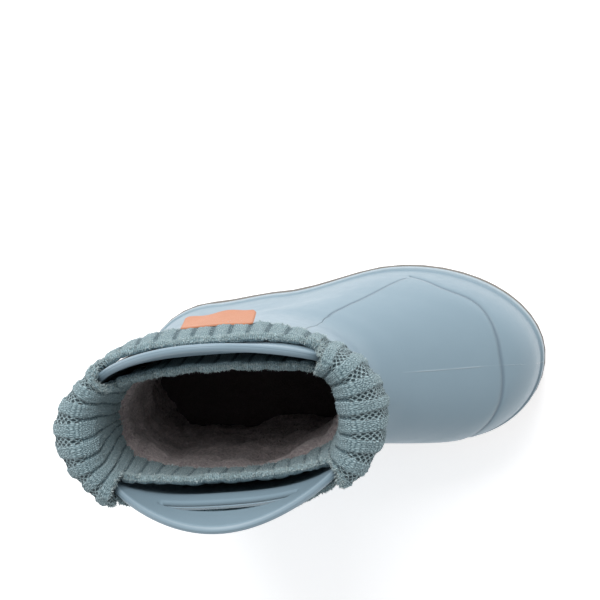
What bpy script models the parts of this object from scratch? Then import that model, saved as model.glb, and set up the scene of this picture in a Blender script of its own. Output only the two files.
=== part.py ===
"""Child's left rubber boot with a turned-down rib-knit cuff and two moulded side handles.

Frame, in metres: +X to the toe, +Y to the lateral side, +Z up. The origin is the centre of the heel tread,
on the floor. A ring is one closed line round the boot. Its angle runs from the heel over the lateral side to
the toe and back over the medial side, and its share t runs from 0 at the heel to 1 at the front of the ring.
"""

import math

import bmesh
import bpy
import numpy as np

# The foot
SOLE_LENGTH = 0.160  # heel to toe, over the moulded lip
HEEL_SETBACK = 0.025  # from the back edge to the centre of the heel tread
BALL_LATERAL = 0.0370  # half widths over the lip, from the mould's parting plane
BALL_MEDIAL = 0.0333
WAIST_LATERAL = 0.0303
WAIST_MEDIAL = 0.0262
HEEL_HALF_WIDTH = 0.0282
TOE_SWING = 0.0005  # how far the toe tip lies to the medial side
INSTEP_RISE = 0.070  # from the sole's top edge to the throat of the instep

# The shaft
SHAFT_HEIGHT = 0.152  # floor to the rim, front and back
SHAFT_BACK = 0.0010  # from the back edge of the sole to the back of the shaft
SHAFT_LENGTH = 0.0955
SHAFT_HALF_WIDTH = 0.029
RIM_PRESS = 0.0022  # the rim is pressed in at the sides by this much
RIM_HALF_WIDTH = SHAFT_HALF_WIDTH - RIM_PRESS
WALL = 0.0026

# The moulded handles, which stand up from the rim
HANDLE_LENGTH = 0.082
HANDLE_RISE = 0.0255
HANDLE_THICKNESS = 0.0030
LATERAL_LEAN = 0.0046  # outward, at the middle of the lateral handle's top edge
MEDIAL_LEAN = 0.0072
HANDLE_SKEW = 0.0013  # the medial handle stands this far forward, the lateral one as far back
LEAN_DEPTH = 0.004  # the lean starts this far below the rim
LEAN_POWER = 1.15  # power of the lean's growth with height
SLOT_LENGTH = 0.048
SLOT_HEIGHT = 0.0066
SLOT_POWER = 0.6  # power of the slot's arched upper edge
GRIP_DEPTH = 0.0128  # rubber left above the slot

# The sole
HEEL_THICKNESS = 0.0165  # floor to the sole's top edge
WAIST_THICKNESS = 0.0135
BALL_THICKNESS = 0.0105
TOE_THICKNESS = 0.0155  # with the toe spring
TOE_SPRING = 0.0065
SPRING_SHARE = 0.80  # share of the length where the toe spring starts
SPRING_POWER = 1.7
ARCH_RISE = 0.0025
LUG_DEPTH = 0.0038
LUG_EMBED = 0.0010  # how far a tread block goes into the plate above it
SOLE_PROUD = 0.0004  # the outsole's top edge stands out past the lip
SOLE_TAPER = 0.0018  # its side slopes in toward the floor
SIDE_GROOVE = 0.0008  # the groove round the outsole's side
LASTING_MARGIN = 0.009  # width of the upper's turned-in edge
MARGIN_THICKNESS = 0.002
INSOLE_THICKNESS = 0.004
INSOLE_CLEARANCE = 0.0006
INSOLE_BEVEL = 0.0010
GAP = 0.0003  # between pieces that touch

# The knit cuff, by the middle of its fabric, measured outward from the shaft's surface
KNIT_THICKNESS = 0.0032
CUFF_INSIDE = 0.030  # how deep it hangs inside
CUFF_OUTSIDE = 0.017  # how deep it hangs outside
CUFF_CREST = 0.0062  # the middle of the fold above the rim
RIB_COUNT = 40
RIB_HEIGHT = 0.0013

# The label on the cuff's lateral side
LABEL_LENGTH = 0.026
LABEL_HEIGHT = 0.015
LABEL_THICKNESS = 0.0010
LABEL_LIFT = 0.0052  # from the hem up to the label's sewn edge
LABEL_FLARE = 0.0028  # how far its loose lower edge stands out
LABEL_POWER = 1.4  # power of the flare's growth down the label
LABEL_SHIFT = 0.0020  # forward of the handle's middle

RING_POINTS = 56
SHAFT_TOP = SHAFT_HEIGHT
THROAT_HEIGHT = BALL_THICKNESS + INSTEP_RISE

# One row for each ring of the foot. back and front are shares of the sole's length, the rises shares of the
# instep's rise above the sole's edge, half a share of the sole's half width, foot how far the ring has the
# outline of the foot and not of the oval shaft, and follow how far it keeps to the sole's top edge.
FOOT_COLUMNS = ("back", "back_rise", "front", "front_rise", "half", "foot", "follow", "square")
FOOT_RINGS = {
    "feather": (0.004, 0.000, 0.996, 0.000, 0.985, 1.00, 1.0, 2.3),
    "lip": (0.000, 0.045, 1.000, 0.045, 1.000, 1.00, 1.0, 2.3),
    "lip_top": (0.002, 0.095, 0.998, 0.105, 0.993, 1.00, 1.0, 2.3),
    "lip_step": (0.013, 0.112, 0.986, 0.125, 0.945, 1.00, 1.0, 2.3),
    "side": (0.009, 0.190, 0.985, 0.230, 0.950, 1.00, 0.8, 2.3),
    "toe_side": (0.006, 0.285, 0.972, 0.365, 0.935, 0.97, 0.5, 2.3),
    "shoulder": (0.006, 0.375, 0.932, 0.480, 0.895, 0.88, 0.3, 2.3),
    "toe_top": (0.009, 0.460, 0.862, 0.572, 0.850, 0.72, 0.1, 2.3),
    "vamp": (0.013, 0.560, 0.770, 0.680, 0.820, 0.52, 0.0, 2.25),
    "vamp_top": (0.018, 0.680, 0.675, 0.812, 0.800, 0.32, 0.0, 2.2),
    "throat": (0.021, 0.840, 0.604, 0.985, 0.780, 0.15, 0.0, 2.2),
}

# One row for each ring of the shaft. height is a share of the way from the throat to the rim, back and front
# shares of the shaft's length, and half a share of its half width, or of the rim's for the last row.
SHAFT_COLUMNS = ("height", "back", "front", "half", "square")
SHAFT_RINGS = {
    "ankle": (0.300, 0.022, 1.012, 1.010, 2.25),
    "calf": (0.640, 0.010, 1.005, 1.000, 2.3),
    "below_rim": (0.850, 0.003, 1.000, 0.985, 2.7),
    "rim": (1.000, 0.000, 1.000, 1.000, 3.2),
}
SIDE_ROW = 3  # the row where the wall proper starts, above the moulded lip
WALL_FOOT = SIDE_ROW + 0.3  # the row whose outline the wall's inner foot has
WALL_ROWS = (3, 3.5, 4, 4.5, 5, 5.5, 6, 6.5, 7, 7.5, 8, 8.5, 9, 9.5, 10, 10.5, 11, 11.6)
RIM_SHARES = (0.30, 0.55, 0.78, 0.90, 1.0)  # lines above those rows, as shares of the way to the top edge
SWELL_SHARE = 0.5  # the handles reach their full thickness at this share of their arch

# The outline of the foot: where each width is reached, as shares of the sole's length
HEEL_SHARE = 0.188
WAIST_SHARE = 0.36
LATERAL_BALL_SHARE = 0.645
MEDIAL_BALL_SHARE = 0.757
TOE_POWER = 1.98

# The cuff's section, a row for each point from the inner hem over the fold to the outer hem. drop is a share
# of the depth inside or outside, and on the crest of the crest's height above the rim. The other columns are
# how far the fabric's middle lies from the shaft's surface at the two handles and at the back and front, as
# shares of the fabric's thickness.
CUFF_COLUMNS = ("leg", "drop", "lateral", "medial", "back", "front")
CUFF_SECTION = (
    ("inside", 1.00, -2.15, -2.15, -2.30, -2.30),
    ("inside", 0.66, -2.10, -2.10, -2.15, -2.15),
    ("inside", 0.33, -2.05, -2.05, -1.95, -1.95),
    ("inside", 0.04, -1.95, -1.95, -1.62, -1.62),
    ("crest", 0.55, -1.40, -1.40, -1.10, -1.10),
    ("crest", 1.00, -0.10, 0.15, 0.60, 0.60),
    ("crest", 0.45, 1.12, 1.42, 2.25, 2.30),
    ("outside", 0.06, 1.25, 1.58, 2.75, 2.85),
    ("outside", 0.35, 1.22, 1.66, 3.00, 3.05),
    ("outside", 0.68, 1.18, 1.71, 3.10, 3.05),
    ("outside", 1.00, 1.15, 1.68, 3.05, 2.95),
)
INNER_EDGE_ROW = 3  # the slits for the handles run from this row of the section
OUTER_EDGE_ROW = 7  # to this one
SLIT_SHARE = 0.98  # share of a handle's half length where its slit ends
BACK_TURN_SHARE = 0.58  # the ends' offsets fade to the sides' at these shares of the rim's half width
FRONT_TURN_SHARE = 0.80
END_POWER = 1.8  # power of that fade
MEDIAL_SPREAD = 0.0018  # how much further the outer leg stands out on the medial side at the front
SPREAD_SHARES = (-0.2, 0.6)  # where along the handle that starts and is full

# The outsole's side, from its plate's lower edge up: share of the height, and of the groove's depth
SOLE_SIDE = (
    (0.00, 1.0),
    (0.15, 0.0),
    (0.50, 0.0),
    (0.58, 1.0),
    (0.70, 1.0),
    (0.78, 0.0),
    (1.00, 0.0),
)

# The tread: a row of blocks for each entry, from and to in shares of the sole's length
TREAD_ROWS = (
    (0.030, 0.088),
    (0.110, 0.178),
    (0.200, 0.262),
    (0.284, 0.330),
    (0.470, 0.522),
    (0.542, 0.596),
    (0.616, 0.670),
    (0.690, 0.744),
    (0.764, 0.816),
    (0.836, 0.886),
    (0.906, 0.950),
)
TREAD_INSET = 0.0012  # from the sole's edge to the blocks
TREAD_CHANNEL = 0.0030  # between the side blocks and the middle ones
MIDDLE_SHARE = 0.36  # half width of a middle block, as a share of the sole's
CHEVRON = 0.0035  # how far the middle blocks point forward
BREAST_SHARE = 0.34  # the arch runs from here
ARCH_SHARE = 0.46  # to here


def smoothstep(share):
    """0 below 0, 1 above 1, and level at both ends."""
    share = np.clip(share, 0.0, 1.0)
    return share * share * (3.0 - 2.0 * share)


def round_end(share, power):
    """The height of a superellipse, 1 at share 0 and 0 at share 1."""
    share = np.clip(share, 0.0, 1.0)
    return (1.0 - share**power) ** (1.0 / power)


def foot_outline(share, ball, waist, ball_station):
    """Half width of the foot's outline on one side, at shares of its length."""
    to_waist = smoothstep((share - HEEL_SHARE) / (WAIST_SHARE - HEEL_SHARE))
    to_ball = smoothstep((share - WAIST_SHARE) / (ball_station - WAIST_SHARE))
    width = HEEL_HALF_WIDTH + (waist - HEEL_HALF_WIDTH) * to_waist + (ball - waist) * to_ball
    heel_cap = round_end((HEEL_SHARE - share) / HEEL_SHARE, 2.0)
    toe_cap = round_end((share - ball_station) / (1.0 - ball_station), TOE_POWER)
    return width * heel_cap * toe_cap


def edge_height(share):
    """Height of the sole's top edge above the floor."""
    to_waist = smoothstep(share / WAIST_SHARE)
    to_ball = smoothstep((share - WAIST_SHARE) / (LATERAL_BALL_SHARE - WAIST_SHARE))
    to_toe = smoothstep((share - LATERAL_BALL_SHARE) / (1.0 - LATERAL_BALL_SHARE))
    return (
        HEEL_THICKNESS
        + (WAIST_THICKNESS - HEEL_THICKNESS) * to_waist
        + (BALL_THICKNESS - WAIST_THICKNESS) * to_ball
        + (TOE_THICKNESS - BALL_THICKNESS) * to_toe
    )


def tread_height(share):
    """Height of the tread: on the floor under heel and forefoot, raised at the arch and the toe."""
    arch = ((share > BREAST_SHARE) & (share < ARCH_SHARE)) * ARCH_RISE
    reach = np.clip((share - SPRING_SHARE) / (1.0 - SPRING_SHARE), 0.0, 1.0)
    spring = TOE_SPRING * reach**SPRING_POWER
    return arch + spring


def ring_table():
    """The rings of foot and shaft as one table of real sizes, a row for each ring."""
    rows = []
    heel_edge, toe_edge = edge_height(0.0), edge_height(1.0)
    for values in FOOT_RINGS.values():
        row = dict(zip(FOOT_COLUMNS, values))
        rows.append(
            (
                row["back"] * SOLE_LENGTH - HEEL_SETBACK,
                heel_edge + row["back_rise"] * (THROAT_HEIGHT - heel_edge),
                row["front"] * SOLE_LENGTH - HEEL_SETBACK,
                toe_edge + row["front_rise"] * (THROAT_HEIGHT - toe_edge),
                row["half"] * BALL_LATERAL,
                row["half"] * BALL_MEDIAL,
                row["foot"],
                row["follow"],
                row["square"],
            )
        )
    for name, values in SHAFT_RINGS.items():
        row = dict(zip(SHAFT_COLUMNS, values))
        height = THROAT_HEIGHT + row["height"] * (SHAFT_TOP - THROAT_HEIGHT)
        half = row["half"] * (RIM_HALF_WIDTH if name == "rim" else SHAFT_HALF_WIDTH)
        rows.append(
            (
                SHAFT_BACK + row["back"] * SHAFT_LENGTH - HEEL_SETBACK,
                height,
                SHAFT_BACK + row["front"] * SHAFT_LENGTH - HEEL_SETBACK,
                height,
                half,
                half,
                0.0,
                0.0,
                row["square"],
            )
        )
    return np.array(rows)


RINGS = ring_table()
RIM_ROW = len(RINGS) - 1
SHAFT_ROW = len(FOOT_RINGS)


def ring_values(row):
    """The table between its rows, on a Catmull-Rom curve through each column."""
    row = min(max(row, 0.0), RIM_ROW)
    low = min(int(row), RIM_ROW - 1)
    u = row - low
    before, here, there, after = (RINGS[min(max(i, 0), RIM_ROW)] for i in range(low - 1, low + 3))
    return 0.5 * (
        2 * here
        + (there - before) * u
        + (2 * before - 5 * here + 4 * there - after) * u * u
        + (3 * here - before - 3 * there + after) * u**3
    )


def ring_angles(count=RING_POINTS):
    return np.arange(count) * (2.0 * math.pi / count)


def ring(row, angles):
    """The ring of the outer surface at a row of the table, as an array of points."""
    back, back_z, front, front_z, lateral, medial, foot, follow, square = ring_values(row)
    share = (1.0 - np.cos(angles)) / 2.0
    oval = round_end(np.abs(2.0 * share - 1.0), square)
    lateral_foot = foot_outline(share, BALL_LATERAL, WAIST_LATERAL, LATERAL_BALL_SHARE) / BALL_LATERAL
    medial_foot = foot_outline(share, BALL_MEDIAL, WAIST_MEDIAL, MEDIAL_BALL_SHARE) / BALL_MEDIAL
    on_lateral = np.sin(angles) >= 0.0
    y = np.where(
        on_lateral,
        lateral * (foot * lateral_foot + (1.0 - foot) * oval),
        -medial * (foot * medial_foot + (1.0 - foot) * oval),
    )
    y = y - TOE_SWING * foot * share**2
    edge_bow = edge_height(share) - (HEEL_THICKNESS + (TOE_THICKNESS - HEEL_THICKNESS) * share)
    z = back_z + (front_z - back_z) * share + follow * edge_bow
    return np.stack([back + (front - back) * share, y, z], axis=1)


def level_normals(points):
    """Outward directions in plan, across the line through each point's neighbours."""
    along = np.roll(points, -1, axis=0) - np.roll(points, 1, axis=0)
    out = np.stack([-along[:, 1], along[:, 0], np.zeros(len(points))], axis=1)
    return out / np.linalg.norm(out, axis=1)[:, None]


def surface_normals(row, angles):
    """Outward normals of the outer surface at a row."""
    step = 0.05
    up = ring(min(row + step, RIM_ROW), angles) - ring(max(row - step, SIDE_ROW), angles)
    points = ring(row, angles)
    along = np.roll(points, -1, axis=0) - np.roll(points, 1, axis=0)
    out = np.cross(up, along)
    return out / np.linalg.norm(out, axis=1)[:, None]


def row_at_height(height):
    """The row of the shaft at a height, for heights above the ankle."""
    low, high = float(SHAFT_ROW), float(RIM_ROW)
    for _ in range(30):
        middle = (low + high) / 2.0
        if ring_values(middle)[1] < height:
            low = middle
        else:
            high = middle
    return low


def handle_share(points, angles):
    """Where each point lies along its handle: 0 at the middle, -1 at its back end and 1 at its front end."""
    side = np.where(np.sin(angles) >= 0.0, -1.0, 1.0)
    middle = SHAFT_BACK + SHAFT_LENGTH / 2.0 - HEEL_SETBACK + side * HANDLE_SKEW
    return (points[:, 0] - middle) / (HANDLE_LENGTH / 2.0)


def handle_arch(points, angles):
    """1 at the middle of a handle, 0 at its ends and beyond."""
    return 1.0 - np.clip(np.abs(handle_share(points, angles)), 0.0, 1.0) ** 2


def handle_lean(points, angles, height):
    """How far the handles stand out at a height, for points on the rim."""
    reach = np.clip((height - SHAFT_TOP + LEAN_DEPTH) / (HANDLE_RISE + LEAN_DEPTH), 0.0, 1.0)
    lean = np.where(np.sin(angles) >= 0.0, LATERAL_LEAN, MEDIAL_LEAN)
    return lean * handle_arch(points, angles) * reach**LEAN_POWER


def shaft_line(heights, angles, outward):
    """A line round the shaft at a height for each angle, moved outward from its surface. The handles' lean
    is part of the surface."""
    points = np.zeros((len(angles), 3))
    outward = np.broadcast_to(outward, len(angles))
    rim = ring(RIM_ROW, angles)
    for height in np.unique(np.round(heights, 6)):
        here = np.isclose(heights, height, atol=1e-6)
        line = ring(row_at_height(min(height, SHAFT_TOP)), angles)
        points[here] = (line + level_normals(line) * outward[:, None])[here]
    points += level_normals(rim) * handle_lean(rim, angles, heights)[:, None]
    points[:, 2] = heights
    return points


def mesh_object(name, vertices, faces, material, parent):
    """A new object, smooth where its faces meet at under 40 degrees."""
    mesh = bpy.data.meshes.new(name)
    mesh.from_pydata([tuple(v) for v in vertices], [], [tuple(f) for f in faces])
    work = bmesh.new()
    work.from_mesh(mesh)
    bmesh.ops.recalc_face_normals(work, faces=work.faces)
    work.to_mesh(mesh)
    work.free()
    mesh.materials.append(material)
    mesh.shade_smooth()
    mesh.set_sharp_from_angle(angle=math.radians(40))
    obj = bpy.data.objects.new(name, mesh)
    bpy.context.scene.collection.objects.link(obj)
    obj.parent = parent
    return obj


def skin(lines):
    """Quads between closed lines of equal length, and from the last back to the first, a closed tube."""
    count = len(lines[0])
    faces = []
    for i in range(len(lines)):
        a, b = i * count, ((i + 1) % len(lines)) * count
        for k in range(count):
            n = (k + 1) % count
            faces.append((a + k, a + n, b + n, b + k))
    return np.concatenate(lines), faces


def ladder(start, count, flip):
    """Faces across a line that is a mirror pair of halves, from rung to rung."""
    half = count // 2
    faces = [(start, start + 1, start + count - 1)]
    for k in range(1, half - 1):
        faces.append((start + k, start + k + 1, start + count - k - 1, start + count - k))
    faces.append((start + half - 1, start + half, start + half + 1))
    return [f[::-1] for f in faces] if flip else faces


def stacked(lines):
    """A closed body from lines set one on the other, with a ladder across the first and the last."""
    count = len(lines[0])
    faces = []
    for i in range(len(lines) - 1):
        a, b = i * count, (i + 1) * count
        for k in range(count):
            n = (k + 1) % count
            faces.append((a + k, a + n, b + n, b + k))
    faces += ladder(0, count, True) + ladder((len(lines) - 1) * count, count, False)
    return np.concatenate(lines), faces


def prism_object(name, outline, bottoms, tops):
    """An upright prism over a plan outline, with its own height at each corner."""
    count = len(outline)
    vertices = [(x, y, z) for (x, y), z in zip(outline, bottoms)]
    vertices += [(x, y, z) for (x, y), z in zip(outline, tops)]
    faces = [tuple(range(count))[::-1], tuple(range(count, 2 * count))]
    for k in range(count):
        n = (k + 1) % count
        faces.append((k, n, count + n, count + k))
    return mesh_object(name, vertices, faces, bpy.data.materials[0], None)


def apply_boolean(target, tools, operation):
    """Cuts or joins the tools with the target and removes them."""
    for tool in tools:
        change = target.modifiers.new("join", "BOOLEAN")
        change.operation, change.solver, change.object = operation, "EXACT", tool
    graph = bpy.context.evaluated_depsgraph_get()
    graph.update()
    mesh = bpy.data.meshes.new_from_object(target.evaluated_get(graph))
    target.modifiers.clear()
    target.data = mesh
    for tool in tools:
        bpy.data.objects.remove(tool)


def joined(objects):
    """Several bodies that don't touch, as one object."""
    vertices, faces = [], []
    for obj in objects:
        start = len(vertices)
        vertices += [tuple(v.co) for v in obj.data.vertices]
        faces += [tuple(start + i for i in p.vertices) for p in obj.data.polygons]
        bpy.data.objects.remove(obj)
    return mesh_object("joined", vertices, faces, bpy.data.materials[0], None)


def paint(name, colour, roughness):
    """A plain material: the boot has no metal."""
    material = bpy.data.materials.new(name)
    material.use_nodes = True
    shader = material.node_tree.nodes["Principled BSDF"]
    shader.inputs["Base Color"].default_value = (*colour, 1.0)
    shader.inputs["Roughness"].default_value = roughness
    shader.inputs["Metallic"].default_value = 0.0
    return material


def upper_lines(angles):
    """The lines of the upper's wall: under the lasting margin, up outside, over the rim and down inside."""
    feather = ring(0, angles)
    margin = feather - level_normals(feather) * LASTING_MARGIN
    margin[:, 2] = feather[:, 2]
    outside = [margin] + [ring(row, angles) for row in (0, 1, 2, *WALL_ROWS)]
    inside = []
    for row in WALL_ROWS[:0:-1]:
        inside.append(ring(row, angles) - surface_normals(row, angles) * WALL)
    wall_foot = ring(WALL_FOOT, angles)
    floor_line = wall_foot - level_normals(wall_foot) * WALL
    floor_line[:, 2] = feather[:, 2] + MARGIN_THICKNESS
    margin_top = margin.copy()
    margin_top[:, 2] = feather[:, 2] + MARGIN_THICKNESS
    inside += [floor_line, margin_top]
    base = float(outside[-1][:, 2].max())
    arch = handle_arch(ring(RIM_ROW, angles), angles)
    top = SHAFT_TOP + HANDLE_RISE * arch
    swell = (HANDLE_THICKNESS - WALL) / 2.0 * smoothstep(arch / SWELL_SHARE)
    inner_rim = []
    for share in RIM_SHARES:
        height = base + (top - base) * share
        more = swell * smoothstep((share - RIM_SHARES[0]) / (RIM_SHARES[2] - RIM_SHARES[0]))
        outside.append(shaft_line(height, angles, more))
        inner_rim.insert(0, shaft_line(height, angles, -WALL - more))
    return outside + inner_rim + inside


def slot_cutter(side):
    """A D-shaped bar through one handle: flat below, arched above."""
    middle = SHAFT_BACK + SHAFT_LENGTH / 2.0 - HEEL_SETBACK - side * HANDLE_SKEW
    low = SHAFT_TOP + HANDLE_RISE - GRIP_DEPTH - SLOT_HEIGHT
    across = np.cos(np.linspace(math.pi, 0.0, 13))
    arch = [(middle + c * SLOT_LENGTH / 2.0, low + SLOT_HEIGHT * (1.0 - c * c) ** SLOT_POWER) for c in across]
    near, far = side * RIM_HALF_WIDTH / 2.0, side * RIM_HALF_WIDTH * 2.0
    count = len(arch)
    vertices = [(x, near, z) for x, z in arch] + [(x, far, z) for x, z in arch]
    faces = [tuple(range(count)), tuple(range(count, 2 * count))[::-1]]
    faces += [(k, (k + 1) % count, count + (k + 1) % count, count + k) for k in range(count)]
    return mesh_object("slot", vertices, faces, bpy.data.materials[0], None)


def make_upper(material, parent):
    """The moulded shell of foot and shaft, open at the rim and underneath, with its two handles."""
    vertices, faces = skin(upper_lines(ring_angles()))
    upper = mesh_object("upper", vertices, faces, material, parent)
    apply_boolean(upper, [slot_cutter(1.0), slot_cutter(-1.0)], "DIFFERENCE")
    return upper


def sole_line(up, groove):
    """A line round the outsole's side, at a share of the way up it, set in by a groove's depth."""
    angles = ring_angles()
    share = (1.0 - np.cos(angles)) / 2.0
    line = ring(1, angles)
    line = line + level_normals(line) * (SOLE_PROUD - SOLE_TAPER * (1.0 - up) - groove)
    bottom = tread_height(share) + LUG_DEPTH
    line[:, 2] = bottom + up * (edge_height(share) - GAP - bottom)
    return line


def sole_half_width(share, side):
    """Half width of the sole on one side, at a share of its length."""
    if side > 0:
        width = foot_outline(share, BALL_LATERAL, WAIST_LATERAL, LATERAL_BALL_SHARE)
    else:
        width = foot_outline(share, BALL_MEDIAL, WAIST_MEDIAL, MEDIAL_BALL_SHARE)
    return float(width) - side * TOE_SWING * share**2


def block_object(outline):
    """A tread block over a plan outline, its underside at the tread's height and its top inside the plate."""
    along = [min(max((x + HEEL_SETBACK) / SOLE_LENGTH, 0.0), 1.0) for x, _ in outline]
    bottoms = [float(tread_height(np.array(share))) for share in along]
    return prism_object("block", outline, bottoms, [z + LUG_DEPTH + LUG_EMBED for z in bottoms])


def side_block(first, last, side):
    """A block along one edge of the sole, between two shares of its length."""
    inside, outside = [], []
    for share in np.linspace(first, last, 4):
        half = sole_half_width(share, side)
        x = share * SOLE_LENGTH - HEEL_SETBACK
        inside.append((x, side * (MIDDLE_SHARE * half + TREAD_CHANNEL)))
        outside.append((x, side * (half - TREAD_INSET)))
    outline = inside + outside[::-1]
    return block_object(outline if side > 0 else outline[::-1])


def middle_block(first, last):
    """A block across the middle of the sole that points forward, as a shallow chevron."""
    near, far = first * SOLE_LENGTH - HEEL_SETBACK, last * SOLE_LENGTH - HEEL_SETBACK
    share = (first + last) / 2.0
    wide = MIDDLE_SHARE * sole_half_width(share, 1.0), -MIDDLE_SHARE * sole_half_width(share, -1.0)
    outline = [
        (near, wide[0]),
        (near + CHEVRON, 0.0),
        (near, wide[1]),
        (far, wide[1]),
        (far + CHEVRON, 0.0),
        (far, wide[0]),
    ]
    return block_object(outline)


def make_outsole(material, parent):
    """The outsole: a plate with toe spring, arch and heel, a groove round its side, and its tread blocks."""
    vertices, faces = stacked([sole_line(up, depth * SIDE_GROOVE) for up, depth in SOLE_SIDE])
    outsole = mesh_object("outsole", vertices, faces, material, parent)
    blocks = []
    for first, last in TREAD_ROWS:
        blocks.append(middle_block(first, last))
        blocks.append(side_block(first, last, 1.0))
        blocks.append(side_block(first, last, -1.0))
    apply_boolean(outsole, [joined(blocks)], "UNION")
    return outsole


def make_insole(material, parent):
    """The loose footbed, which lies on the lasting margin."""
    angles = ring_angles()
    wall_foot = ring(WALL_FOOT, angles)
    line = wall_foot - level_normals(wall_foot) * (WALL + INSOLE_CLEARANCE)
    share = (1.0 - np.cos(angles)) / 2.0
    base = edge_height(share) + MARGIN_THICKNESS + GAP
    lines = []
    for lift, inset in ((0.0, 0.0), (0.75, 0.0), (1.0, INSOLE_BEVEL)):
        level = line - level_normals(line) * inset
        level[:, 2] = base + lift * INSOLE_THICKNESS
        lines.append(level)
    vertices, faces = stacked(lines)
    return mesh_object("insole", vertices, faces, material, parent)


def cuff_point(entry, angles):
    """One line of the cuff's section round the boot: the middle of the fabric."""
    row = dict(zip(CUFF_COLUMNS, entry))
    rim = ring(RIM_ROW, angles)
    on_lateral = np.sin(angles) >= 0.0
    at_back = np.cos(angles) > 0.0
    at_side = np.where(on_lateral, row["lateral"], row["medial"])
    at_end = np.where(at_back, row["back"], row["front"])
    turn = np.where(at_back, BACK_TURN_SHARE, FRONT_TURN_SHARE)
    end = 1.0 - np.clip(np.abs(rim[:, 1]) / (RIM_HALF_WIDTH * turn), 0.0, 1.0) ** END_POWER
    out = KNIT_THICKNESS * (at_side + (at_end - at_side) * end)
    height = SHAFT_TOP - row["drop"] * CUFF_OUTSIDE
    if row["leg"] == "inside":
        height = SHAFT_TOP - row["drop"] * CUFF_INSIDE
    if row["leg"] == "crest":
        height = SHAFT_TOP + row["drop"] * CUFF_CREST
    surface = ring(row_at_height(min(height, SHAFT_TOP)), angles)
    if row["leg"] == "outside":
        start, full = SPREAD_SHARES
        forward = smoothstep((handle_share(rim, angles) - start) / (full - start))
        out = out + np.where(on_lateral, 0.0, MEDIAL_SPREAD * forward * (1.0 - end))
    if row["leg"] != "inside":
        out = out + handle_lean(rim, angles, height)
    line = surface + level_normals(surface) * out[:, None]
    line[:, 2] = height
    return line


def cuff_faces(middle, angles):
    """The two faces of the cuff's fabric: across its thickness from the middle, with the ribs on both."""
    middle = np.array(middle)
    along = np.gradient(middle, axis=0)
    around = np.roll(middle, -1, axis=1) - np.roll(middle, 1, axis=1)
    out = np.cross(around, along)
    out /= np.linalg.norm(out, axis=2)[:, :, None]
    rib = RIB_HEIGHT / 2.0 * np.where(np.arange(len(angles)) % 2 == 0, 1.0, -1.0)
    front = middle + out * (KNIT_THICKNESS / 2.0 + rib[None, :, None] * 0.5)
    back = middle - out * (KNIT_THICKNESS / 2.0 - rib[None, :, None] * 0.5)
    return front, back


def make_cuff(material, parent):
    """The rib-knit cuff: sewn in below the rim, folded over it and hanging outside, slit for the handles."""
    angles = even_angles(2 * RIB_COUNT)
    middle = [cuff_point(entry, angles) for entry in CUFF_SECTION]
    front, back = cuff_faces(middle, angles)
    rows, count = front.shape[:2]
    rim = ring(RIM_ROW, angles)
    in_slit = np.abs(handle_share(rim, angles)) < SLIT_SHARE
    vertices = np.concatenate([front.reshape(-1, 3), back.reshape(-1, 3)])
    other = rows * count
    faces = []
    solid = np.ones((rows - 1, count), bool)
    for i in range(INNER_EDGE_ROW, OUTER_EDGE_ROW):
        for k in range(count):
            solid[i, k] = not (in_slit[k] or in_slit[(k + 1) % count])
    for i in range(rows - 1):
        for k in range(count):
            if not solid[i, k]:
                continue
            n = (k + 1) % count
            quad = (i * count + k, i * count + n, (i + 1) * count + n, (i + 1) * count + k)
            faces.append(quad)
            faces.append(tuple(other + q for q in quad[::-1]))
            neighbours = (
                (i > 0 and solid[i - 1, k], quad[0], quad[1]),
                (i < rows - 2 and solid[i + 1, k], quad[2], quad[3]),
                (solid[i, k - 1], quad[3], quad[0]),
                (solid[i, n], quad[1], quad[2]),
            )
            for there, a, b in neighbours:
                if not there:
                    faces.append((b, a, other + a, other + b))
    return mesh_object("knit_cuff", vertices, faces, material, parent)


def even_angles(count):
    """Angles whose points on the rim lie at equal distances round it."""
    fine = np.linspace(0.0, 2.0 * math.pi, 1441)
    line = ring(RIM_ROW, fine)
    length = np.concatenate([[0.0], np.cumsum(np.linalg.norm(np.diff(line, axis=0), axis=1))])
    return np.interp(np.arange(count) * length[-1] / count, length, fine)


def make_label(material, parent):
    """The small label sewn by its upper edge to the cuff's lateral side, standing out over the hem."""
    columns, rows = 13, 6
    middle = SHAFT_BACK + SHAFT_LENGTH / 2.0 - HEEL_SETBACK - HANDLE_SKEW + LABEL_SHIFT
    angles = even_angles(720)
    hem = cuff_point(CUFF_SECTION[-1], angles)
    hem = hem + level_normals(hem) * (KNIT_THICKNESS / 2.0 + RIB_HEIGHT / 4.0 + GAP)
    side = hem[np.sin(angles) > 0.2]
    order = np.argsort(side[:, 0])
    x = middle + np.linspace(-0.5, 0.5, columns) * LABEL_LENGTH
    y = np.interp(x, side[order, 0], side[order, 1])
    top = SHAFT_TOP - CUFF_OUTSIDE + LABEL_LIFT
    lines = []
    for share in np.linspace(0.0, 1.0, rows):
        out = LABEL_FLARE * share**LABEL_POWER
        drop = math.sqrt(max(0.0, (share * LABEL_HEIGHT) ** 2 - out**2))
        lines.append(np.stack([x, y + out, np.full(columns, top - drop)], axis=1))
    inner = np.concatenate(lines)
    vertices = np.concatenate([inner, inner + np.array([0.0, LABEL_THICKNESS, 0.0])])
    other = rows * columns
    faces = []
    for i in range(rows - 1):
        for k in range(columns - 1):
            a = i * columns + k
            quad = (a, a + 1, a + columns + 1, a + columns)
            faces += [quad, tuple(other + q for q in quad[::-1])]
            edges = ((i == 0, 0, 1), (k == columns - 2, 1, 2), (i == rows - 2, 2, 3), (k == 0, 3, 0))
            faces += [(quad[q], quad[p], other + quad[p], other + quad[q]) for edge, p, q in edges if edge]
    return mesh_object("label", vertices, faces, material, parent)


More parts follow.
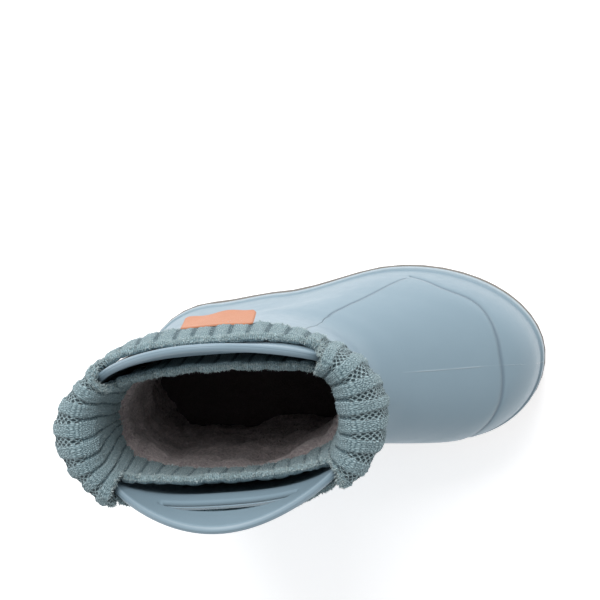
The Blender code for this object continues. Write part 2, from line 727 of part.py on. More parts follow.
def build():
    for obj in list(bpy.data.objects):
        bpy.data.objects.remove(obj)
    boot = bpy.data.objects.new("boot", None)
    bpy.context.scene.collection.objects.link(boot)
    shell = paint("moulded_rubber", (0.34, 0.45, 0.53), 0.5)
    make_upper(shell, boot)
    make_outsole(paint("tread_rubber", (0.20, 0.19, 0.18), 0.7), boot)
    make_insole(paint("felt", (0.22, 0.19, 0.18), 0.95), boot)
    make_cuff(paint("rib_knit", (0.33, 0.46, 0.48), 0.9), boot)
    make_label(paint("label_leather", (0.86, 0.42, 0.22), 0.6), boot)


build()
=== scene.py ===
"""Child's left rubber boot: moulded shell with two pull handles, folded rib-knit cuff and pile lining."""

import math

import bpy
import numpy as np
from mathutils import Matrix


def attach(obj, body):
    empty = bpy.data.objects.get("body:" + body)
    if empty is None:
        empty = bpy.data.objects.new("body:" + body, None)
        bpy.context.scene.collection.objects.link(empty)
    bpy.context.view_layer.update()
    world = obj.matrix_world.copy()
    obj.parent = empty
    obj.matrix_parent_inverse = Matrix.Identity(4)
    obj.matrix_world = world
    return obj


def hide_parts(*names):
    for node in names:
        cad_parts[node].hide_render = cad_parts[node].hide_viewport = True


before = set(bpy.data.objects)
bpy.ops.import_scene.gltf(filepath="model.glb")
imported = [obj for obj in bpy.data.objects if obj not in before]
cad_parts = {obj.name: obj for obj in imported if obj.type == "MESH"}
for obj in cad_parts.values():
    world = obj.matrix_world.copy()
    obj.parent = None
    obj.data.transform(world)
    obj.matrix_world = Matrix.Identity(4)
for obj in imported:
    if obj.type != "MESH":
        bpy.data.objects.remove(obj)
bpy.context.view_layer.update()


# Camera: a metre above the boot, out beyond the toe's lateral side, looking almost straight down into the
# collar. Tilt is its angle from the vertical, yaw turns it towards the heel, and roll turns the picture.
EYE = np.array([0.1605, 0.1305, 1.0015])
TILT, YAW, ROLL = math.radians(6.01), math.radians(-6.95), math.radians(4.42)


def axes_at(x, y, z, place):
    """The matrix of an object whose three axes are the given directions, at a place."""
    return Matrix([[x[i], y[i], z[i], place[i]] for i in range(3)] + [[0.0, 0.0, 0.0, 1.0]])


ahead = np.array([0.0, -math.sin(TILT), -math.cos(TILT)])
upward = np.array([0.0, math.cos(TILT), -math.sin(TILT)])
rightward = np.array([1.0, 0.0, 0.0])
ahead, rightward = (
    math.cos(YAW) * ahead + math.sin(YAW) * rightward,
    math.cos(YAW) * rightward - math.sin(YAW) * ahead,
)
rightward, upward = (
    math.cos(ROLL) * rightward - math.sin(ROLL) * upward,
    math.sin(ROLL) * rightward + math.cos(ROLL) * upward,
)
camera_data = bpy.data.cameras.new("camera")
camera_data.lens = 150.0
camera_data.sensor_width = 36.0
camera_data.clip_end = 50.0
camera = bpy.data.objects.new("camera", camera_data)
camera.matrix_world = axes_at(rightward, upward, -ahead, EYE)
bpy.context.scene.collection.objects.link(camera)
bpy.context.scene.camera = camera


# Studio: a plain white floor that throws a little light back up, one large soft lamp high on the lateral
# side, and an even pale room all round.
KEY_PLACE, KEY_AIM = np.array([-0.10, 1.20, 1.30]), np.array([0.03, 0.0, 0.08])
KEY_SIZE, KEY_POWER = 1.1, 25.0
ROOM_LIGHT, FLOOR_LIGHT, FLOOR_HALF = 0.57, 0.46, 6.0


def unit(vectors):
    """Vectors at length 1."""
    return vectors / (np.linalg.norm(vectors, axis=-1, keepdims=True) + 1e-12)


key_data = bpy.data.lights.new("key", "AREA")
key_data.shape, key_data.size, key_data.energy = "SQUARE", KEY_SIZE, KEY_POWER
key = bpy.data.objects.new("key", key_data)
backward = unit(KEY_PLACE - KEY_AIM)
sideways = unit(np.cross([0.0, 0.0, 1.0], backward))
key.matrix_world = axes_at(sideways, np.cross(backward, sideways), backward, KEY_PLACE)
bpy.context.scene.collection.objects.link(key)

world = bpy.data.worlds.new("room")
world.use_nodes = True
world.node_tree.nodes["Background"].inputs["Color"].default_value = (0.975, 0.985, 1.0, 1.0)
world.node_tree.nodes["Background"].inputs["Strength"].default_value = ROOM_LIGHT
bpy.context.scene.world = world
bpy.context.scene.view_settings.view_transform = "Standard"

floor_mesh = bpy.data.meshes.new("floor")
floor_corners = [(x * FLOOR_HALF, y * FLOOR_HALF, 0.0) for x, y in ((-1, -1), (1, -1), (1, 1), (-1, 1))]
floor_mesh.from_pydata(floor_corners, [], [(0, 1, 2, 3)])
floor = bpy.data.objects.new("floor", floor_mesh)
bpy.context.scene.collection.objects.link(floor)
floor_material = bpy.data.materials.new("white_floor")
floor_material.use_nodes = True
floor_shader = floor_material.node_tree.nodes["Principled BSDF"]
floor_shader.inputs["Base Color"].default_value = (0.93, 0.93, 0.935, 1.0)
floor_shader.inputs["Roughness"].default_value = 0.9
floor_shader.inputs["Emission Color"].default_value = (1.0, 1.0, 1.0, 1.0)
floor_shader.inputs["Emission Strength"].default_value = FLOOR_LIGHT
floor_mesh.materials.append(floor_material)


# Upper: foot, shaft and both pull handles, injection-moulded in one piece of soft grey-blue rubber. The lip
# round the foot, the toe-cap groove, the quarter lines and the mould's parting line come from the same mould.
# The wall is turned in under the footbed, where the outsole is bonded on.
SOLE_LENGTH, HEEL_SETBACK = 0.160, 0.025
SHAFT_BACK, SHAFT_LENGTH, SHAFT_TOP, THROAT = 0.0010, 0.0955, 0.152, 0.0805
WALL, TURNED_IN, TURNED_THICK = 0.0026, 0.009, 0.002
HANDLE_LENGTH, HANDLE_RISE, HANDLE_THICKNESS, HANDLE_SKEW = 0.082, 0.0255, 0.0030, 0.0013
LATERAL_LEAN, MEDIAL_LEAN, LEAN_DEPTH, LEAN_CURVE = 0.0046, 0.0072, 0.004, 1.15
SLOT_LENGTH, SLOT_HEIGHT, SLOT_END_HEIGHT, MEDIAL_SLOT_SHIFT = 0.048, 0.0066, 0.0011, 0.0010
GRIP_DEPTH, EDGE_ROUND, EDGE_LEFT = 0.0128, 0.0012, 0.25
# Half widths of ball and waist, and the ball's share of the foot's length, on each side.
LATERAL_FOOT = (0.0370, 0.0303, 0.645)
MEDIAL_FOOT = (0.0333, 0.0262, 0.757)
HEEL_HALF, HEEL_STATION, WAIST_STATION, TOE_ROUNDNESS, TOE_SWING = 0.0282, 0.188, 0.36, 1.98, 0.0005
# Height of the sole's top edge at heel, waist, ball and toe.
EDGE_HEIGHTS = (0.0165, 0.0135, 0.0105, 0.0155)
# Rings round the foot, from the feather line up: back end and its height, front end and its height, half
# width, how much of the foot's outline it has, how far it follows the sole's edge, and how square it is.
FOOT_SHARES = np.array(
    [
        (0.004, 0.000, 0.996, 0.000, 0.985, 1.00, 1.0, 2.3),
        (0.000, 0.045, 1.000, 0.045, 1.000, 1.00, 1.0, 2.3),
        (0.002, 0.095, 0.998, 0.105, 0.993, 1.00, 1.0, 2.3),
        (0.007, 0.112, 0.991, 0.125, 0.968, 1.00, 1.0, 2.3),
        (0.007, 0.190, 0.988, 0.230, 0.959, 1.00, 0.8, 2.3),
        (0.006, 0.285, 0.972, 0.365, 0.935, 0.97, 0.5, 2.3),
        (0.006, 0.375, 0.932, 0.480, 0.895, 0.88, 0.3, 2.3),
        (0.009, 0.460, 0.862, 0.572, 0.850, 0.72, 0.1, 2.3),
        (0.013, 0.560, 0.770, 0.680, 0.820, 0.52, 0.0, 2.25),
        (0.018, 0.680, 0.675, 0.812, 0.800, 0.32, 0.0, 2.2),
        (0.021, 0.840, 0.604, 0.985, 0.780, 0.15, 0.0, 2.2),
    ]
)
# Rings round the shaft: height over the throat, back end and front end as shares, half width, squareness.
SHAFT_SHARES = np.array(
    [
        (0.300, 0.022, 1.012, 0.02929, 2.25),
        (0.640, 0.010, 1.005, 0.02900, 2.3),
        (0.850, 0.003, 1.000, 0.02857, 2.7),
        (1.000, 0.000, 1.000, 0.02680, 3.2),
    ]
)
RIM_HALF = SHAFT_SHARES[-1, 3]
foot, shank = FOOT_SHARES.T, SHAFT_SHARES.T
level_rows = THROAT + shank[0] * (SHAFT_TOP - THROAT)
nothing = np.zeros(len(SHAFT_SHARES))
foot_columns = [
    foot[0] * SOLE_LENGTH - HEEL_SETBACK,
    EDGE_HEIGHTS[0] + foot[1] * (THROAT - EDGE_HEIGHTS[0]),
    foot[2] * SOLE_LENGTH - HEEL_SETBACK,
    EDGE_HEIGHTS[3] + foot[3] * (THROAT - EDGE_HEIGHTS[3]),
    foot[4] * LATERAL_FOOT[0],
    foot[4] * MEDIAL_FOOT[0],
    *foot[5:8],
]
shaft_columns = [
    SHAFT_BACK + shank[1] * SHAFT_LENGTH - HEEL_SETBACK,
    level_rows,
    SHAFT_BACK + shank[2] * SHAFT_LENGTH - HEEL_SETBACK,
    level_rows,
    shank[3],
    shank[3],
    nothing,
    nothing,
    shank[4],
]
RINGS = np.concatenate([np.stack(foot_columns, 1), np.stack(shaft_columns, 1)])
RIM_ROW = len(RINGS) - 1


def smoothstep(share):
    """3s^2 - 2s^3 of a share held between 0 and 1."""
    share = np.clip(share, 0.0, 1.0)
    return share * share * (3.0 - 2.0 * share)


def round_end(share, power):
    """The height of a superellipse, 1 at share 0 and 0 at share 1."""
    return (1.0 - np.clip(share, 0.0, 1.0) ** power) ** (1.0 / power)


def bulge_over(taper):
    """The height of a quarter round, 0 at taper 0 and 1 from taper 1 on."""
    return np.sqrt(np.maximum(1.0 - (1.0 - np.clip(taper, 0.0, 1.0)) ** 2, 0.0))


def foot_outline(share, side):
    """Half width of the foot over the ball's, along its length: a half ellipse at heel and toe, and smooth
    steps from heel to waist to ball between them."""
    ball, waist, station = side
    to_waist = smoothstep((share - HEEL_STATION) / (WAIST_STATION - HEEL_STATION))
    to_ball = smoothstep((share - WAIST_STATION) / (station - WAIST_STATION))
    width = HEEL_HALF + (waist - HEEL_HALF) * to_waist + (ball - waist) * to_ball
    heel = round_end((HEEL_STATION - share) / HEEL_STATION, 2.0)
    toe = round_end((share - station) / (1.0 - station), TOE_ROUNDNESS)
    return width * heel * toe / ball


def edge_height(share):
    """Height of the sole's top edge, in smooth steps from heel to waist to ball to toe."""
    heel, waist, ball, toe = EDGE_HEIGHTS
    return (
        heel
        + (waist - heel) * smoothstep(share / WAIST_STATION)
        + (ball - waist) * smoothstep((share - WAIST_STATION) / (LATERAL_FOOT[2] - WAIST_STATION))
        + (toe - ball) * smoothstep((share - LATERAL_FOOT[2]) / (1.0 - LATERAL_FOOT[2]))
    )


def curve_through(table, at):
    """A Catmull-Rom curve through a table's rows, at places counted in rows: between two rows a cubic whose
    slope at each is half the step between that row's neighbours."""
    last = len(table) - 1
    at = np.clip(at, 0.0, last)
    low = np.minimum(at.astype(int), last - 1)
    u = (at - low).reshape(at.shape + (1,) * (table.ndim - 1))
    before, here, there, after = (table[np.clip(low + k, 0, last)] for k in (-1, 0, 1, 2))
    return 0.5 * (
        2 * here
        + (there - before) * u
        + (2 * before - 5 * here + 4 * there - after) * u * u
        + (3 * here - before - 3 * there + after) * u**3
    )


def shell(row, angle):
    """The outer surface at a row of the rings and an angle, 0 at the heel, over the lateral side to the toe:
    the foot's outline below, which gives way to a superellipse above."""
    row, angle = np.broadcast_arrays(np.asarray(row, float), np.asarray(angle, float))
    back, back_z, front, front_z, lateral, medial, foot_part, follow, square = np.moveaxis(
        curve_through(RINGS, row), -1, 0
    )
    share = (1.0 - np.cos(angle)) / 2.0
    oval = round_end(np.abs(2.0 * share - 1.0), square)
    y = np.where(
        np.sin(angle) >= 0.0,
        lateral * (foot_part * foot_outline(share, LATERAL_FOOT) + (1.0 - foot_part) * oval),
        -medial * (foot_part * foot_outline(share, MEDIAL_FOOT) + (1.0 - foot_part) * oval),
    )
    y = y - TOE_SWING * foot_part * share**2
    bow = edge_height(share) - (EDGE_HEIGHTS[0] + (EDGE_HEIGHTS[3] - EDGE_HEIGHTS[0]) * share)
    z = back_z + (front_z - back_z) * share + follow * bow
    return np.stack([back + (front - back) * share, y, z], -1)


def level_out(points):
    """Outward directions in plan, across the line through each point's neighbours in its row."""
    along = np.roll(points, -1, axis=-2) - np.roll(points, 1, axis=-2)
    return unit(np.stack([-along[..., 1], along[..., 0], np.zeros(along.shape[:-1])], -1))


def outward(points):
    """Normals of a grid whose rows are closed and follow each other upward: up crossed with round."""
    along = np.roll(points, -1, axis=1) - np.roll(points, 1, axis=1)
    return unit(np.cross(np.gradient(points, axis=0), along))


def even_angles(count):
    """Angles whose points on the rim are equally far apart."""
    fine = np.linspace(0.0, 2.0 * math.pi, 4001)
    line = shell(RIM_ROW, fine)
    length = np.concatenate([[0.0], np.cumsum(np.linalg.norm(np.diff(line, axis=0), axis=1))])
    return np.interp(np.arange(count) * length[-1] / count, length, fine)


fine_rows = np.linspace(len(FOOT_SHARES), RIM_ROW, 600)
fine_heights = curve_through(RINGS, fine_rows)[:, 1]


def shaft(height, angle):
    """The shaft's outer surface at a height."""
    row = np.interp(np.minimum(height, SHAFT_TOP), fine_heights, fine_rows)
    return shell(row, angle)


def handle_share(angle):
    """Where an angle's rim point lies along its handle: -1 at the back end, 0 in the middle, 1 in front."""
    side = np.where(np.sin(angle) >= 0.0, -1.0, 1.0)
    middle = SHAFT_BACK + SHAFT_LENGTH / 2.0 - HEEL_SETBACK + side * HANDLE_SKEW
    return (shell(RIM_ROW, angle)[..., 0] - middle) / (HANDLE_LENGTH / 2.0)


def handle_arch(angle):
    """The handle's rise over its middle's: 1 less the square of the share along it, and 0 past its ends."""
    return 1.0 - np.clip(np.abs(handle_share(angle)), 0.0, 1.0) ** 2


def handle_lean(angle, height):
    """How far the handles stand out: nothing below the rim, most at the middle of the top edge."""
    reach = np.clip((height - SHAFT_TOP + LEAN_DEPTH) / (HANDLE_RISE + LEAN_DEPTH), 0.0, 1.0)
    most = np.where(np.sin(angle) >= 0.0, LATERAL_LEAN, MEDIAL_LEAN)
    return most * handle_arch(angle) * reach**LEAN_CURVE


def slot_place(angle):
    """Distance along a handle from the middle of its slot. The medial one lies a little farther forward."""
    shift = np.where(np.sin(angle) < 0.0, MEDIAL_SLOT_SHIFT, 0.0)
    return handle_share(angle) * HANDLE_LENGTH / 2.0 - shift


def mesh_piece(name, points, faces, material, values):
    """A smooth mesh object from arrays, with its numbers for the material as point attributes."""
    mesh = bpy.data.meshes.new(name)
    mesh.from_pydata(points.reshape(-1, 3), [], faces)
    for key, value in values.items():
        attribute = mesh.attributes.new(key, "FLOAT", "POINT")
        attribute.data.foreach_set("value", np.ravel(value).astype(np.float32))
    mesh.materials.append(material)
    mesh.shade_smooth()
    piece = bpy.data.objects.new(name, mesh)
    bpy.context.scene.collection.objects.link(piece)
    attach(piece, "root")
    return piece


def trimmed_piece(name, points, faces, material, values):
    """A mesh piece of the points that its faces use, and the mask of those points."""
    used = np.zeros(len(points), bool)
    used[faces.ravel()] = True
    renumber = np.cumsum(used) - 1
    kept_values = {key: value.reshape(-1)[used] for key, value in values.items()}
    return mesh_piece(name, points[used], renumber[faces], material, kept_values), used


def sheet_faces(rows, count, closed=True):
    """Quads of a grid, row by row, closed round its columns, facing outward where the rows follow upward."""
    last = count if closed else count - 1
    i, k = np.meshgrid(np.arange(rows - 1), np.arange(last), indexing="ij")
    n = (k + 1) % count
    quads = [i * count + k, (i + 1) * count + k, (i + 1) * count + n, i * count + n]
    return np.stack(quads, -1).reshape(-1, 4)


# Columns evenly round the rim, a little closer at heel and toe. Those nearest the slots' ends are set on
# them.
COLUMNS, EVEN = 400, 0.75
angles = EVEN * even_angles(COLUMNS) + (1.0 - EVEN) * np.arange(COLUMNS) * 2.0 * math.pi / COLUMNS
for side in (1.0, -1.0):
    fine = side * np.linspace(0.3, math.pi - 0.3, 8001) % (2.0 * math.pi)
    for end in (-SLOT_LENGTH / 2.0, SLOT_LENGTH / 2.0):
        exact = fine[np.abs(slot_place(fine) - end).argmin()]
        angles[np.abs(angles - exact).argmin()] = exact

# The outside, from the feather line to just under the rim.
BASE_ROW = 11.6
foot_rows = np.concatenate([np.linspace(0.0, 3.2, 26), np.linspace(3.3, BASE_ROW, 78)])
outside = shell(foot_rows[:, None], angles[None])
base = outside[-1, :, 2].max()

# The rim and the handles: rows up to the slot's floor, across the slot, from its roof up, and over the edge.
arch = handle_arch(angles)
top = SHAFT_TOP + HANDLE_RISE * arch
swell = (HANDLE_THICKNESS - WALL) / 2.0 * smoothstep(arch / 0.5)
full = WALL / 2.0 + swell
along = slot_place(angles)
slot_low = SHAFT_TOP + HANDLE_RISE - GRIP_DEPTH - SLOT_HEIGHT
end_share = np.clip(np.abs(along) / (SLOT_LENGTH / 2.0), 0.0, 1.0)
rest_share = 1.0 - end_share**2
roof = np.maximum(SLOT_HEIGHT * rest_share**0.6, SLOT_END_HEIGHT)
slope = 1.2 * SLOT_HEIGHT / (SLOT_LENGTH / 2.0) * end_share * np.maximum(rest_share, 0.03) ** -0.4
straight = top - full - base
slot_end_rise = HANDLE_RISE * (1.0 - (SLOT_LENGTH / HANDLE_LENGTH) ** 2)
at_end = SHAFT_TOP + slot_end_rise - HANDLE_THICKNESS / 2.0 - base
in_length = end_share < 1.0
floor_at = np.where(in_length, (slot_low - base) / straight, (slot_low - base) / at_end)
end_roof = (slot_low + SLOT_END_HEIGHT - base) / at_end
roof_at = np.where(in_length, (slot_low + roof - base) / straight, end_roof)
below = 1.0 - np.array([0.0, 0.02, 0.06, 0.11, 0.17, 0.24, 0.34, 0.46, 0.58, 0.70, 0.82, 0.94])[::-1]
across = np.array([0.34, 0.67])
above = np.array([0.0, 0.012, 0.035, 0.065, 0.10, 0.15, 0.22, 0.30, 0.40, 0.50, 0.60, 0.70, 0.80, 0.90, 1.0])
turn = np.radians(np.array([18.0, 38.0, 56.0, 72.0, 84.0]))
ramp = np.concatenate(
    [
        below[:, None] * floor_at,
        across[:, None] * (roof_at - floor_at) + floor_at,
        above[:, None] * (1.0 - roof_at) + roof_at,
    ]
)
half = WALL / 2.0 + swell * smoothstep((ramp - 0.30) / 0.48)
half = np.concatenate([half, full * np.cos(turn)[:, None]])
height = np.concatenate([base + straight * ramp, top - full * (1.0 - np.sin(turn))[:, None]])
line = shaft(height, angles[None])
out = level_out(line)
over = np.maximum((height - slot_low - roof) / np.hypot(1.0, slope), slot_low - height)
beyond = (np.abs(along) - SLOT_LENGTH / 2.0)[None]
distance = np.hypot(np.maximum(over, 0.0), np.maximum(beyond, 0.0))
distance = distance + np.minimum(np.maximum(over, beyond), 0.0)
in_slot = (beyond[0] < 1e-6) & np.roll(beyond[0] < 1e-6, -1)
cut = np.zeros((len(height) - 1, COLUMNS), bool)
cut[len(below) - 1 : len(below) + len(across)] = in_slot
on_handle = (arch[None] > 0.05) & (height > SHAFT_TOP - LEAN_DEPTH)
rounded = EDGE_LEFT + (1.0 - EDGE_LEFT) * bulge_over(distance / EDGE_ROUND)
half_here = half * np.where(on_handle, rounded, 1.0)
rim_out = level_out(shell(RIM_ROW, angles)[None])
middle = line - out * (WALL / 2.0) + rim_out * handle_lean(angles[None], height)[..., None]
middle[..., 2] = height
outer_rim = middle + out * half_here[..., None]
inner_rim = middle - out * half_here[..., None]

# The inside down to the turned-in edge, which closes the grid on itself.
inner = shell(np.linspace(BASE_ROW, 3.4, 40)[:, None], angles[None])
inner = inner - outward(inner[::-1])[::-1] * WALL
foot_line = shell(3.3, angles)[None]
foot_line = foot_line - level_out(foot_line) * WALL
foot_line[..., 2] = outside[0, :, 2] + TURNED_THICK
margin = outside[:1] - level_out(outside[:1]) * TURNED_IN
margin_top = margin + np.array([0.0, 0.0, TURNED_THICK])
grid = np.concatenate([margin, outside, outer_rim, inner_rim[::-1], inner, foot_line, margin_top])
rows = len(grid)
first_rim = 1 + len(outside)
last_rim = first_rim + len(outer_rim)
last_inner = last_rim + len(inner_rim)
keep = np.ones((rows, COLUMNS), bool)
keep[first_rim : last_rim - 1] = ~cut
keep[last_rim : last_inner - 1] = ~cut[::-1]
faces = sheet_faces(rows + 1, COLUMNS) % (rows * COLUMNS)
faces = faces[keep.ravel()]

# The slot's walls: a strip of quads from the outer to the inner rows wherever a cut cell meets a whole one,
# with the step to that neighbour and the two corners that they share.
outer_index = np.arange(first_rim, last_rim)[:, None] * COLUMNS + np.arange(COLUMNS)[None]
inner_index = np.arange(last_rim, last_inner)[::-1][:, None] * COLUMNS + np.arange(COLUMNS)[None]
slot_walls = []
for step, axis, first_corner, second_corner in (
    (-1, 0, (1, 0), (1, 1)),
    (1, 0, (0, 1), (0, 0)),
    (-1, 1, (1, 1), (0, 1)),
    (1, 1, (0, 0), (1, 0)),
):
    i, k = np.nonzero(cut & ~np.roll(cut, step, axis=axis))
    p = (i + first_corner[0], (k + first_corner[1]) % COLUMNS)
    q = (i + second_corner[0], (k + second_corner[1]) % COLUMNS)
    slot_walls.append(np.stack([outer_index[q], outer_index[p], inner_index[p], inner_index[q]], -1))
faces = np.concatenate([faces] + slot_walls)

# Lines on the moulding, as points in millimetres: the toe cap's groove from the lateral over to the medial
# side, the quarter lines from the collar to the cap, and the parting line down the front to the toe.
# The rubber's colour paints shade along these grooves and a highlight along the parting line.
cap_path = [
    (85.6, 34.6, 30.2), (86.7, 34.0, 31.6), (93.6, 32.1, 37.0), (99.0, 29.7, 40.5),
    (107.6, 25.7, 42.0), (111.3, 23.1, 43.0), (114.2, 20.0, 44.7), (116.6, 15.4, 46.8),
    (118.2, 10.1, 48.4), (119.1, 2.0, 49.5), (119.0, -8.2, 48.8), (117.2, -15.7, 47.2),
    (113.1, -22.5, 44.6), (107.5, -28.5, 40.0), (103.0, -32.0, 32.0), (101.0, -33.0, 12.0),
]
quarter_path = [
    (47.0, 25.0, 146.0), (49.5, 25.2, 125.0), (52.2, 25.2, 101.3), (56.1, 25.6, 71.9), (62.9, 27.8, 60.6),
    (67.9, 29.4, 55.3), (74.7, 31.5, 46.7), (81.3, 33.5, 37.9), (85.0, 34.0, 33.8),
]
inner_quarter_path = [(x + 9.0 * smoothstep((x - 55.0) / 35.0), -y * 0.93, z) for x, y, z in quarter_path]
parting_path = [
    (71.0, 3.2, 120.0), (71.0, 3.0, 85.0), (74.6, 2.7, 75.2), (88.8, 1.2, 64.6), (103.6, 0.2, 57.1),
    (118.5, -0.7, 50.0), (128.0, -2.4, 40.0), (133.1, -4.3, 23.2), (135.0, -4.6, 12.0),
]
BOOT_MIDDLE, POINTS_AT_ONCE, END_POINTS = np.array([0.045, 0.0, 0.02]), 8000, 30
FAR = 9.0


def line_distance(points, path):
    """Signed distance in millimetres of points from a line on the surface: to the nearest of its points, with
    the sign of the side on which they lie. With it goes a share, 1 along the line and 0 past its ends."""
    path = np.array(path) / 1000.0
    curve = curve_through(path, np.linspace(0, len(path) - 1, 60 * len(path)))
    tangent = unit(np.gradient(curve, axis=0))
    flat = points.reshape(-1, 3)
    result, run = np.zeros(len(flat)), np.zeros(len(flat))
    for start in range(0, len(flat), POINTS_AT_ONCE):
        some = slice(start, start + POINTS_AT_ONCE)
        near = ((flat[some, None, :] - curve[None]) ** 2).sum(2).argmin(1)
        away = flat[some] - curve[near]
        up = unit(curve[near] - BOOT_MIDDLE)
        on_surface = away - (away * up).sum(1)[:, None] * up
        side = np.cross(tangent[near], up)
        result[some] = np.sign((away * side).sum(1)) * np.linalg.norm(on_surface, axis=1)
        run[some] = smoothstep(np.minimum(near, len(curve) - 1 - near) / END_POINTS)
    return 1000.0 * result.reshape(points.shape[:-1]), run.reshape(points.shape[:-1])


skin = slice(1, 1 + len(outside))
values = {}
for name, path, place in (
    ("cap", cap_path, grid[..., 0] > 0.060),
    ("quarter", quarter_path, grid[..., 1] > 0.0),
    ("inner_quarter", inner_quarter_path, grid[..., 1] < 0.0),
    ("parting", parting_path, (grid[..., 0] > 0.066) & (grid[..., 2] > 0.020)),
):
    values[name], values[name + "_run"] = np.full((rows, COLUMNS), FAR), np.zeros((rows, COLUMNS))
    values[name][skin], values[name + "_run"][skin] = line_distance(outside, path)
    values[name + "_run"] *= place

# A fine line along the handles' top edge, where a shade line and a highlight are painted, and the lip's band,
# where a highlight is painted.
edge_line = np.full((rows, COLUMNS), FAR)
edge_line[first_rim:last_rim] = 1000.0 * half_here
edge_line[last_rim:last_inner] = -1000.0 * half_here[::-1]
on_edge = np.zeros((rows, COLUMNS), bool)
on_edge[first_rim + 24 : last_rim + 12] = True
values["edge_line"] = np.where(on_edge & (grid[..., 2] > SHAFT_TOP + 0.002), edge_line, FAR)
values["lip"] = np.zeros((rows, COLUMNS))
values["lip"][skin] = np.exp(-(((foot_rows - 1.6) / 0.75) ** 2))[:, None]

# The toe-cap line is a soft groove in the wall, its ends dying out at the lip.
CAP_DEPTH, CAP_WIDTH = 0.00045, 1.1
depth = CAP_DEPTH * np.exp(-((values["cap"] / CAP_WIDTH) ** 2)) * values["cap_run"]
grid[skin] = grid[skin] - outward(outside) * depth[skin][..., None]


def node(tree, kind, links, **settings):
    """A shader node with its settings, and links to or values for its inputs."""
    made = tree.nodes.new(kind)
    for key, value in settings.items():
        setattr(made, key, value)
    for key, value in links.items():
        if isinstance(value, bpy.types.NodeSocket):
            tree.links.new(value, made.inputs[key])
        else:
            made.inputs[key].default_value = value
    return made


def new_material(name):
    """A node material, with its tree, its shader and the object's own coordinates."""
    material = bpy.data.materials.new(name)
    material.use_nodes = True
    tree = material.node_tree
    place = node(tree, "ShaderNodeTexCoord", {}).outputs["Object"]
    return material, tree, tree.nodes["Principled BSDF"], place


def maths(tree, operation, a, b=0.0):
    """One step of shader arithmetic."""
    return node(tree, "ShaderNodeMath", {0: a, 1: b}, operation=operation).outputs[0]


def mixture(tree, *parts, start=0.0, clamp=False):
    """The sum of values, each times its share, and of a starting number."""
    total = start
    for value, share in parts:
        step = node(tree, "ShaderNodeMath", {0: value, 1: share, 2: total}, operation="MULTIPLY_ADD")
        total = step.outputs[0]
    step.use_clamp = clamp
    return total


def bell(tree, value, width):
    """1 where the value is 0, fading to 0 over the width: e to the minus (value / width) squared."""
    share = maths(tree, "DIVIDE", value, width)
    return maths(tree, "POWER", math.e, maths(tree, "MULTIPLY", maths(tree, "MULTIPLY", share, share), -1.0))


def field(tree, name):
    """A point attribute of the piece."""
    return node(tree, "ShaderNodeAttribute", {}, attribute_name=name).outputs["Fac"]


def noise(tree, place, scale, detail, roughness=0.5, distortion=0.0):
    """Smooth noise between 0 and 1, with so many cycles in a metre."""
    links = {"Vector": place, "Scale": scale, "Detail": detail}
    links |= {"Roughness": roughness, "Distortion": distortion}
    return node(tree, "ShaderNodeTexNoise", links).outputs["Fac"]


def between(tree, value, low, high, to_low=0.0, to_high=1.0):
    """The value's stretch from low to high laid over another stretch, and held at its ends."""
    links = {"Value": value, "From Min": low, "From Max": high, "To Min": to_low, "To Max": to_high}
    return node(tree, "ShaderNodeMapRange", links).outputs["Result"]


def blend(tree, share, first, second):
    """A colour between two, each of them three numbers or another colour's output."""
    first, second = (c if isinstance(c, bpy.types.NodeSocket) else (*c, 1.0) for c in (first, second))
    links = {"Factor": share, "A": first, "B": second}
    return node(tree, "ShaderNodeMix", links, data_type="RGBA").outputs["Result"]


def relief(tree, shader, height, strength, depth):
    """Bumps on the shader from a height, of a depth in metres."""
    bump = node(tree, "ShaderNodeBump", {"Height": height, "Strength": strength, "Distance": depth})
    tree.links.new(bump.outputs["Normal"], shader.inputs["Normal"])


rubber, tree, shader, place = new_material("moulded_grey_blue_rubber")
cloud = noise(tree, place, 38.0, 4.0, 0.55)
grain = noise(tree, place, 2600.0, 2.0)
rub = noise(tree, place, 240.0, 5.0, 0.7)
grooves = [
    maths(tree, "MULTIPLY", bell(tree, field(tree, name), width), field(tree, name + "_run"))
    for name, width in (("cap", 0.62), ("quarter", 0.42), ("inner_quarter", 0.42), ("parting", 0.26))
]
cap_groove, quarter_groove, inner_groove, parting_ridge = grooves
breaks = between(tree, noise(tree, place, 62.0, 1.0), 0.44, 0.56)
parting_ridge = maths(tree, "MULTIPLY", parting_ridge, breaks)
edge_value = field(tree, "edge_line")
edge_groove = bell(tree, maths(tree, "SUBTRACT", edge_value, 0.35), 0.15)
edge_light = bell(tree, maths(tree, "ADD", edge_value, 1.05), 0.16)
thin_grooves = mixture(tree, (quarter_groove, 1.0), (inner_groove, 1.0), (edge_groove, 0.24))
# Painted shade: the rubber darkens along the toe-cap groove, the quarter lines and a fine line on the
# handles' top edge.
dark = mixture(tree, (thin_grooves, 0.55), (cap_groove, 0.56), clamp=True)
# Painted highlights: the rubber lightens along the parting ridge, beside the handles' top edge and in a band
# along the lip.
light = mixture(tree, (parting_ridge, 0.42), (edge_light, 0.252), (field(tree, "lip"), 0.34), clamp=True)
colour = blend(tree, cloud, (0.206, 0.292, 0.350), (0.236, 0.325, 0.384))
colour = blend(tree, dark, colour, (0.090, 0.135, 0.180))
colour = blend(tree, light, colour, (0.42, 0.49, 0.52))
tree.links.new(colour, shader.inputs["Base Color"])
tree.links.new(between(tree, rub, 0.3, 0.7, 0.40, 0.52), shader.inputs["Roughness"])
shader.inputs["Coat Weight"].default_value = 0.06
shader.inputs["Coat Roughness"].default_value = 0.30
rubber_relief = mixture(
    tree, (grain, 0.05), (thin_grooves, -0.9), (cap_groove, -0.9), (parting_ridge, 0.30), (cloud, 0.35)
)
relief(tree, shader, rubber_relief, 1.0, 0.0004)
upper, _ = trimmed_piece("moulded_upper", grid.reshape(-1, 3), faces, rubber, values)
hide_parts("upper")


